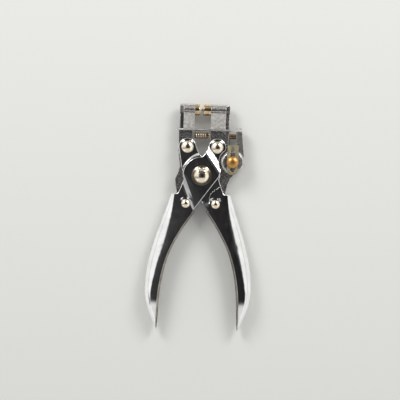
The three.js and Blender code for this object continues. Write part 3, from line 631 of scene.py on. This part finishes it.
def rounded_copy(node, name, radius_mm, segments=2, sharp=28, creases=1000, thin=None,
                 least=(0.02, 0.02)):
    """A merged copy of a CAD node, with a bevel where edges bend by more than sharp degrees.

    least is the shortest edge in mm that stays, before and after flat faces are joined."""
    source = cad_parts[node]
    piece = source.copy()
    piece.data = source.data.copy()
    piece.name = name
    piece.parent = None
    bpy.context.scene.collection.objects.link(piece)
    open_mesh(piece)
    bpy.ops.mesh.remove_doubles(threshold=mm(min(least[0], MERGE_AT_MOST)))
    bpy.ops.mesh.dissolve_degenerate(threshold=mm(least[0]))
    bpy.ops.mesh.dissolve_limited(angle_limit=math.radians(SAME_PLANE_DEGREES))
    bpy.ops.mesh.dissolve_degenerate(threshold=mm(least[1]))
    close_mesh()
    mark_edges(piece, radius_mm, sharp, creases, thin)
    edge = piece.modifiers.new("soft edges", "BEVEL")
    edge.width = mm(radius_mm)
    edge.segments = segments
    edge.limit_method = "WEIGHT"
    edge.use_clamp_overlap = False
    edge.loop_slide = False
    apply_modifiers(piece)
    return piece


print("copies are merged within", MERGE_AT_MOST, "mm at most")

# %% [markdown]
# The jaws are castings with edges rounded to about 0.3 mm. Round the bush's hole in the arm the
# wall is thin, so the bevel there is a third as wide. The left jaw's outer strip takes the dark
# painted shade: its faces are picked by their place and by looking straight up.

# %% Jaws
JAW_RADIUS = 0.3
JAW_LEAST = (0.02, 0.16)
BUSH_HOLE = (23, 28.2, 24, 31.3)
STRIP_X, STRIP_Y, FACING_UP = -13.55, 30, 0.9


def paint_strip_shade(piece):
    """The outer strip on the front gets its dark painted shade."""
    piece.data.materials.append(strip_painted_shade)
    for face in piece.data.polygons:
        corners = [piece.data.vertices[index].co for index in face.vertices]
        outside = all(corner.x < mm(STRIP_X) and corner.y > mm(STRIP_Y) for corner in corners)
        if outside and face.normal.z > FACING_UP:
            face.material_index = 1


left_jaw = rounded_copy("left_jaw", "left_jaw_casting", JAW_RADIUS, 3, least=JAW_LEAST)
finish_piece(left_jaw, "left_jaw", "left_jaw", cast_nickel)
paint_strip_shade(left_jaw)
right_jaw = rounded_copy(
    "right_jaw", "right_jaw_casting", JAW_RADIUS, 3, thin=BUSH_HOLE, least=JAW_LEAST,
)
finish_piece(right_jaw, "right_jaw", "right_jaw", cast_nickel)

# %% [markdown]
# Each handle is one pressing, polished outside. Its sheet's edges are rounded to 0.42 mm, and
# the folds of the plates stay crisp lines above the grips. The folds beside the lower right
# rivet lie so close together that the bevel there is a third as wide. The grip's inner edge and
# inside take the dull plate with its painted shade: they face the other grip, so they are picked
# by their normal.

# %% Handles
HANDLE_RADIUS = 0.42
HANDLE_LEAST = (0.105, 0.105)
FOLDS_ABOVE = -12.9
CLOSE_FOLDS = (5.5, 13.7, -24, -6.9)
GRIP_TOP, TURNED_AWAY = -19, 0.3


def paint_shade_between_grips(piece, side):
    """The dull plate with painted shade, on the faces below the grip's top that turn away from
    side.
    """
    piece.data.materials.append(chrome_painted_shade)
    for face in piece.data.polygons:
        if face.center.y < mm(GRIP_TOP) and face.normal.x * side < -TURNED_AWAY:
            face.material_index = 1


left_handle = rounded_copy(
    "left_handle", "left_handle_pressing", HANDLE_RADIUS, 3, creases=FOLDS_ABOVE,
    least=HANDLE_LEAST,
)
finish_piece(left_handle, "left_handle", "left_handle", chrome_plate)
paint_shade_between_grips(left_handle, -1)
right_handle = rounded_copy(
    "right_handle", "right_handle_pressing", HANDLE_RADIUS, 3, creases=FOLDS_ABOVE,
    thin=CLOSE_FOLDS, least=HANDLE_LEAST,
)
finish_piece(right_handle, "right_handle", "right_handle", chrome_plate)
paint_shade_between_grips(right_handle, 1)

# %% [markdown]
# The strap is stamped from thin strip, and tumbling breaks its edges only a little.

# %% Edge stop strap
strap = rounded_copy("edge_stop", "edge_stop_strap", 0.15)
finish_piece(strap, "edge_stop", "edge_stop", plated_strip)

# %% [markdown]
# ## Turned pieces
# A lathe makes rivets, dies and bushes. Here a disc is extruded ring by ring: each ring is moved
# along the axis and drawn in or out to its radius, as a turner would step down a bar. The bar
# stands on Z first and is laid along X afterwards where the piece needs it.

# %% Turn a bar ring by ring
MERGED, TIP = 0.001, 0.02


def turned(name, rings, centre, lying=False, sides=64):
    """Rings are pairs of radius and distance along the axis, in mm. Returns a closed piece."""
    radius, level = rings[0]
    bpy.ops.object.select_all(action="DESELECT")
    bpy.ops.mesh.primitive_circle_add(
        vertices=sides, radius=mm(radius), fill_type="NGON", location=(0, 0, mm(level)),
    )
    piece = bpy.context.object
    piece.name = name
    bpy.ops.object.transform_apply(location=True, rotation=True, scale=True)
    open_mesh(piece)
    for next_radius, next_level in rings[1:]:
        bpy.ops.mesh.extrude_region_move(
            TRANSFORM_OT_translate={"value": (0, 0, mm(next_level - level))}
        )
        scale = next_radius / radius
        bpy.ops.transform.resize(
            value=(scale, scale, 1), center_override=(0, 0, mm(next_level)),
        )
        radius, level = next_radius, next_level
    bpy.ops.mesh.select_all(action="SELECT")
    bpy.ops.mesh.remove_doubles(threshold=mm(MERGED))
    bpy.ops.mesh.normals_make_consistent(inside=False)
    close_mesh()
    if lying:
        piece.rotation_euler = (0, math.pi / 2, 0)
    piece.location = place(*centre)
    return piece


def dome(radius, height, seat, steps=9):
    """Rings of a rounded rivet head from its rim to its crown."""
    rings = []
    for i in range(steps + 1):
        turn = math.pi * i / (2 * steps)
        rings.append((max(radius * math.cos(turn), TIP), seat + height * math.sin(turn)))
    return rings


print("a dome has", len(dome(5, 2, 0)), "rings")

# %% [markdown]
# Each rivet has a flat back head with a rounded rim, a shank that fills its hole, a short
# upright rim and a dome. The dome is polished all over, so it shows the whole studio. The pivot
# rivet also has a low sloping skirt round its dome. The heads sit on the plates' fronts: the
# outer rivets 5.8 mm over the middle plane, the pivot on the bridge 1 mm higher. The back rim is
# a table of how far inwards and upwards each of its rings lies.

# %% Rivets
PLATE, BRIDGE = 5.8, 6.8
BACK_RIM = ((0.7, 0.0), (0.35, 0.05), (0.1, 0.22), (0.0, 0.5))
RIM_RISE, SKIRT_RISE = 0.25, 0.45


def rivet(name, node, body, x, y, shank, head, height, seat, skirt=None):
    """Turns one rivet. Its dome rises height over seat, with the skirt under it if it has one."""
    rings = [(head - inwards, upwards - MIDDLE) for inwards, upwards in BACK_RIM]
    rings += [(head, -seat), (shank, -seat), (shank, seat)]
    if skirt:
        rings += [(skirt - 0.06, seat), (skirt, seat + 0.06), (skirt - 0.12, seat + 0.15),
                  (head + 0.35, seat + 0.26), (head + 0.05, seat + 0.36)]
    else:
        rings += [(head - 0.12, seat), (head, seat + 0.1)]
    rise = SKIRT_RISE if skirt else RIM_RISE
    rings += dome(head, height - rise, seat + rise)
    piece = turned(name, rings, (x, y))
    finish_piece(piece, node, body, nickel_with_painted_skirt)


rivet("pivot_rivet_turned", "pivot_rivet", "left_handle", 0, 0,
      shank=3, head=5, height=2.4, seat=BRIDGE, skirt=6.8)
for name, body, side in (("upper_left_rivet", "right_handle", -1),
                         ("upper_right_rivet", "left_handle", 1)):
    rivet(name + "_turned", name, body, side * RIVET_X, RIVET_Y,
          shank=2.6, head=4.15, height=2.3, seat=PLATE)
for name, body, side in (("lower_left_rivet", "left_handle", -1),
                         ("lower_right_rivet", "right_handle", 1)):
    rivet(name + "_turned", name, body, side * RIVET_X, -RIVET_Y,
          shank=1.7, head=2.95, height=1.8, seat=PLATE)

# %% [markdown]
# The spacer round the pivot and the washer under the brass rivet's tail are plain rings, so
# copies of their nodes with small bevels are enough.

# %% Pivot spacer and stop washer
spacer = rounded_copy("pivot_spacer", "pivot_spacer_turned", 0.2)
finish_piece(spacer, "pivot_spacer", "left_handle", nickel_with_painted_skirt)
stop_washer = rounded_copy("edge_stop_washer", "edge_stop_washer_turned", 0.1)
finish_piece(stop_washer, "edge_stop_washer", "right_jaw", nickel_with_painted_skirt)

# %% [markdown]
# The brass rivet of the edge stop has a low, broad dome over the strap, and a small head on its
# tail, which holds the washer at the back.

# %% Brass stop rivet
brass_rivet = turned(
    "edge_stop_brass_rivet",
    [(2.8, -5.4), (3.1, -5.3), (3.2, -5.1), (3.2, -4.4), (1.4, -4.4), (1.4, 7.2),
     (4.08, 7.2), (4.2, 7.32)] + dome(4.2, 2.05, 7.45),
    (STOP_X, STOP_Y),
)
finish_piece(brass_rivet, "edge_stop_rivet", "right_jaw", polished_brass)

# %% [markdown]
# The anvil die is a cup whose rolled lip curls the eyelet over. The setting die has a stepped
# nose round a pilot pin. Both have a spigot in the jaw and a groove round the head, and both are
# bored. The ring tables run from the spigot's end along the outside to the bottom of the bore.

# %% Dies and pilot pin
SPIGOT, DIE_HEAD = 2.5, 4.3
anvil = turned(
    "anvil_die_turned",
    [(SPIGOT, -10.9), (SPIGOT, LEFT_FACE), (DIE_HEAD, LEFT_FACE), (DIE_HEAD, -4.75),
     (4.12, -4.65), (4.12, -4.45), (DIE_HEAD, -4.35), (DIE_HEAD, -2.95), (4.18, -2.7),
     (3.9, -2.6), (2.3, -2.6), (2.05, -2.75), (1.8, -3.7), (1.0, -3.9), (1.0, -10.5)],
    (0, DIE_Y), lying=True,
)
finish_piece(anvil, "anvil_die", "left_jaw", turned_bronze)
setter = turned(
    "setting_die_turned",
    [(SPIGOT, 10.1), (SPIGOT, RIGHT_FACE), (DIE_HEAD, RIGHT_FACE), (DIE_HEAD, 3.4),
     (4.08, 3.3), (4.08, 3.1), (DIE_HEAD, 3.0), (DIE_HEAD, 0.3), (4.18, 0.05), (3.9, -0.1),
     (1.7, -0.1), (1.5, -0.3), (1.5, -0.85), (1.25, -1.1), (0.9, -1.15), (0.8, -1.0), (0.8, 9.8)],
    (0, DIE_Y), lying=True,
)
finish_piece(setter, "setting_die", "right_jaw", turned_bronze)
pilot = turned(
    "pilot_pin_turned",
    [(0.5, 4.85), (0.5, -1.9), (0.42, -2.1), (0.25, -2.18), (TIP, -2.2)],
    (0, DIE_Y), lying=True, sides=32,
)
finish_piece(pilot, "pilot_pin", "right_jaw", turned_bronze)

# %% [markdown]
# The punch is a rod with a hollow cutting end, which enters a bush in the side arm. A shallow
# groove behind the cutting end shows how far it may be ground. The bush and the washer that the
# spring pushes on are plain rings, so copies of their nodes are enough.

# %% Punch, bush and spring washer
ROD = 1.8
punch = turned(
    "punch_rod_turned",
    [(1.6, -14.4), (ROD, -14.2), (ROD, 20.2), (1.68, 20.35), (1.68, 20.6), (ROD, 20.75),
     (ROD, 22.6), (1.5, 23.58), (1.22, 23.6), (1.2, 23.4), (1.2, 19.8)],
    (0, PUNCH_Y), lying=True, sides=48,
)
finish_piece(punch, "punch_rod", "left_jaw", tempered_steel)
bush = rounded_copy("punch_bush", "punch_bush_turned", 0.15)
finish_piece(bush, "punch_bush", "right_jaw", turned_bronze)
spring_seat = rounded_copy("spring_washer", "spring_washer_turned", 0.12)
finish_piece(spring_seat, "spring_washer", "spring_end", spring_wire)

# %% [markdown]
# ## Wire pieces
# A wire is a curve with a round section. The curve is turned into a mesh once its path is set,
# so that its ends are closed and its surface takes the same finish as any other piece.

# %% Draw a wire through points
ROUND_DEGREES = 50


def wire(name, points, radius_mm, section=4):
    """A round wire along points, as a closed mesh."""
    path = bpy.data.curves.new(name, "CURVE")
    path.dimensions = "3D"
    path.bevel_depth = mm(radius_mm)
    path.bevel_resolution = section
    path.use_fill_caps = True
    line = path.splines.new("POLY")
    line.points.add(len(points) - 1)
    for spot, point in zip(line.points, points):
        spot.co = (*point, 1.0)
    piece = bpy.data.objects.new(name, path)
    bpy.context.scene.collection.objects.link(piece)
    select_only(piece)
    bpy.ops.object.convert(target="MESH")
    open_mesh(piece)
    bpy.ops.mesh.remove_doubles(threshold=mm(MERGED))
    bpy.ops.mesh.normals_make_consistent(inside=False)
    close_mesh()
    print(name, "drawn through", len(points), "points")
    return piece


print("wires are merged within", MERGED, "mm")

# %% [markdown]
# The return spring is wound round the punch and pushes the jaws apart. One end stands on the left
# jaw and the other on the washer.

# %% Return spring
COIL, SPRING_WIRE, CURLS, PER_CURL = 2.45, 0.4, 5, 32
SPRING_FROM, SPRING_TO = -5.6, 3.8
coil_points = [place(SPRING_FROM, PUNCH_Y + COIL)]
for i in range(CURLS * PER_CURL + 1):
    along = i / (CURLS * PER_CURL)
    turn = 2 * math.pi * i / PER_CURL
    x = SPRING_FROM + 2 * SPRING_WIRE + (SPRING_TO - SPRING_FROM - 4 * SPRING_WIRE) * along
    coil_points.append(
        place(x, PUNCH_Y + COIL * math.cos(turn), COIL * math.sin(turn))
    )
coil_points.append(place(SPRING_TO, PUNCH_Y + COIL))
spring = wire("return_spring_coil", coil_points, SPRING_WIRE)
select_only(spring)
bpy.ops.object.shade_smooth_by_angle(angle=math.radians(ROUND_DEGREES))
spring.data.materials.append(spring_wire)
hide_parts("return_spring")
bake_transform(spring)
print("spring faces:", len(spring.data.polygons))

# %% [markdown]
# The guard wire lies across both jaws under the dies. It is bent round the left jaw's edge and
# its two ends stop just past the right jaw. The bend clears the jaw, which is 7.8 mm thick and
# whose outer side lies at x = -16.4 mm.

# %% Guard wire
GUARD_WIRE, STRAIGHT_STEPS, BEND_STEPS = 0.6, 12, 24
JAW_HALF, JAW_LEFT, JAW_RIGHT = 3.9, -16.4, 18.4
FRONT_GAP, SIDE_GAP, END_PAST = 0.55, 0.8, 1.1
bend = JAW_HALF + FRONT_GAP + GUARD_WIRE
bend_x = JAW_LEFT - SIDE_GAP - GUARD_WIRE + bend
end_x = JAW_RIGHT + END_PAST
guard_points = [
    place(end_x + (bend_x - end_x) * i / STRAIGHT_STEPS, GUARD_Y, bend)
    for i in range(STRAIGHT_STEPS)
]
for i in range(BEND_STEPS + 1):
    turn = math.pi * i / BEND_STEPS
    guard_points.append(
        place(bend_x - bend * math.sin(turn), GUARD_Y, bend * math.cos(turn))
    )
guard_points += [
    place(bend_x + (end_x - bend_x) * i / STRAIGHT_STEPS, GUARD_Y, -bend)
    for i in range(1, STRAIGHT_STEPS + 1)
]
guard = wire("guard_wire_bent", guard_points, GUARD_WIRE, 5)
finish_piece(guard, "guard_wire", "left_jaw", tie_wire, angle=ROUND_DEGREES)

# %% [markdown]
# ## Studio
# The pliers lie on a pale grey floor. Seen in the metal the floor is nearly white, as if white
# cards lay just outside the picture: Light Path's Is Glossy Ray picks that second colour.

# %% Floor
FLOOR_SIZE, FLOOR_DROP = 6.0, -0.0002
bpy.ops.object.select_all(action="DESELECT")
bpy.ops.mesh.primitive_plane_add(size=FLOOR_SIZE, location=(0, 0, FLOOR_DROP))
floor = bpy.context.object
floor.name = "studio_floor"
pale = bpy.data.materials.new("pale_floor")
pale.use_nodes = True
pale_shader = pale.node_tree.nodes["Principled BSDF"]
seen_by = add_node(pale.node_tree, "ShaderNodeLightPath")
tone = add_node(
    pale.node_tree, "ShaderNodeMix",
    {0: seen_by.outputs["Is Glossy Ray"], 6: linear("#d3d3d0"), 7: linear("#fafaf8")},
    data_type="RGBA",
)
pale.node_tree.links.new(tone.outputs[2], pale_shader.inputs["Base Color"])
pale_shader.inputs["Roughness"].default_value = 0.9
pale_shader.inputs["Specular IOR Level"].default_value = 0.1
floor.data.materials.append(pale)
print("floor", FLOOR_SIZE, "m wide")

# %% [markdown]
# Polished metal has no look of its own, it shows what stands round it. A photographer leaves a
# dark gap over flat chrome, so that it reads dark, and puts white panels round it, so that its
# rounded edges read bright. The surroundings do the same: straight overhead they are nearly
# black, and panels stand at both sides, the front and the back. Places are given by direction,
# where 0 is overhead and 1 is the horizon. The side panels close in a little towards the back.

# %% Panels round the pliers
GAP_X = 0.07
world = bpy.data.worlds.new("studio_dome")
bpy.context.scene.world = world
world.use_nodes = True
sky = world.node_tree
sky.nodes.clear()
toward = add_node(sky, "ShaderNodeTexCoord").outputs["Generated"]
axes = add_node(sky, "ShaderNodeSeparateXYZ", {"Vector": toward}).outputs


def panel(direction, start, stop, level=1.0, dark=0.0):
    """The light of a panel whose soft edge runs from start to stop of a direction."""
    return add_node(
        sky, RANGE, {"Value": direction}, interpolation_type="SMOOTHSTEP",
        From_Min=start, From_Max=stop, To_Min=dark, To_Max=level,
    )


off_centre = add_node(sky, MATH, {0: axes["X"], 1: GAP_X}, operation="SUBTRACT")
sideways = add_node(sky, MATH, {0: off_centre}, operation="ABSOLUTE")
closing = panel(axes["Y"], 0.12, 0.5, level=0.16)
widened = add_node(sky, MATH, {0: sideways, 1: closing}, operation="ADD")
light = panel(widened, 0.27, 0.52, level=1.15)
front_panel = panel(axes["Y"], -0.16, -0.4, level=0.9)
back_panel = panel(axes["Y"], 0.5, 0.66, level=0.62)
dark_gap = panel(sideways, 0.0, 0.27, level=0.08, dark=0.014)
back_of_gap = panel(axes["Y"], 0.1, 0.3, level=0.13)
for other in (front_panel, back_panel, dark_gap, back_of_gap):
    light = add_node(sky, MATH, {0: light, 1: other}, operation="MAXIMUM")
print("panels at the sides, the front and the back")

# %% [markdown]
# The corner at the lower left is dimmer than the rest, so the grips' left sides show a soft
# shade. And a room is never as bright near the table as at the height of its lamps, so the
# light falls off towards the horizon.

# %% Dim corner and horizon
dim_left = panel(axes["X"], -0.25, -0.45, level=0.6)
dim_front = add_node(
    sky, MATH, {0: panel(axes["Y"], -0.08, -0.18), 1: panel(axes["Y"], -0.5, -0.38)},
    operation="MULTIPLY",
)
dim_corner = add_node(sky, MATH, {0: dim_left, 1: dim_front}, operation="MULTIPLY")
left_over = add_node(sky, MATH, {0: 1.0, 1: dim_corner}, operation="SUBTRACT")
above_horizon = panel(axes["Z"], 0.05, 0.34, level=1.0, dark=0.74)
for share in (left_over, above_horizon):
    light = add_node(sky, MATH, {0: light, 1: share}, operation="MULTIPLY")
print("nodes in the surroundings:", len(sky.nodes))

# %% [markdown]
# Only reflections need the panels. Soft light on the floor comes from an even glow, and the
# camera, should it ever look past the floor, sees plain white.

# %% What each kind of ray sees
EVEN_GLOW = 0.62
rays = add_node(sky, "ShaderNodeLightPath").outputs
lit = add_node(
    sky, "ShaderNodeMix", {0: rays["Is Glossy Ray"], 2: EVEN_GLOW, 3: light}, data_type="FLOAT",
)
seen = add_node(
    sky, "ShaderNodeMix", {0: rays["Is Camera Ray"], 2: lit, 3: 1.0}, data_type="FLOAT",
)
glow = add_node(
    sky, "ShaderNodeBackground", {"Strength": seen}, Color=(1.0, 1.0, 1.0, 1.0),
)
add_node(sky, "ShaderNodeOutputWorld", {"Surface": glow})
print("even glow:", EVEN_GLOW)

# %% [markdown]
# Two softboxes stand high at the upper left and upper right. They make the paired highlights on
# the domes and the soft shadow under the handles.

# %% Softboxes
BOX_SIZE, BOX_POWER = (0.42, 0.5), 5.5
BOX_X, BOX_Y, BOX_Z = 0.55, 0.62, 0.8


def softbox(name, at):
    lamp = bpy.data.lights.new(name, "AREA")
    lamp.shape = "RECTANGLE"
    lamp.size, lamp.size_y = BOX_SIZE
    lamp.energy = BOX_POWER
    stand = bpy.data.objects.new(name, lamp)
    bpy.context.scene.collection.objects.link(stand)
    stand.location = at
    stand.rotation_euler = (-Vector(at)).to_track_quat("-Z", "Y").to_euler()
    print(name, "at", at)


softbox("softbox_upper_left", (-BOX_X, BOX_Y, BOX_Z))
softbox("softbox_upper_right", (BOX_X, BOX_Y, BOX_Z))

# %% [markdown]
# ## Camera
# The photograph looks straight down from far away, and the pliers lean 1.9 degrees to the right
# in it. A frame 276 mm wide, at the height of the plates, shows them at the photograph's size.

# %% Camera
DISTANCE, PLATE_HEIGHT = 1.2, 0.0134
FRAME_WIDTH, SENSOR = 0.276, 36.0
AIM_X, AIM_Y, LEAN = -0.474, -16.92, 1.9
view = bpy.data.cameras.new("overhead_camera")
view.sensor_width = SENSOR
view.lens = SENSOR * (DISTANCE - PLATE_HEIGHT) / FRAME_WIDTH
camera = bpy.data.objects.new("overhead_camera", view)
bpy.context.scene.collection.objects.link(camera)
camera.location = (mm(AIM_X), mm(AIM_Y), DISTANCE)
camera.rotation_euler = (0.0, 0.0, math.radians(LEAN))
bpy.context.scene.camera = camera
bpy.context.scene.view_settings.view_transform = "Standard"
print("lens:", round(view.lens, 1), "mm")
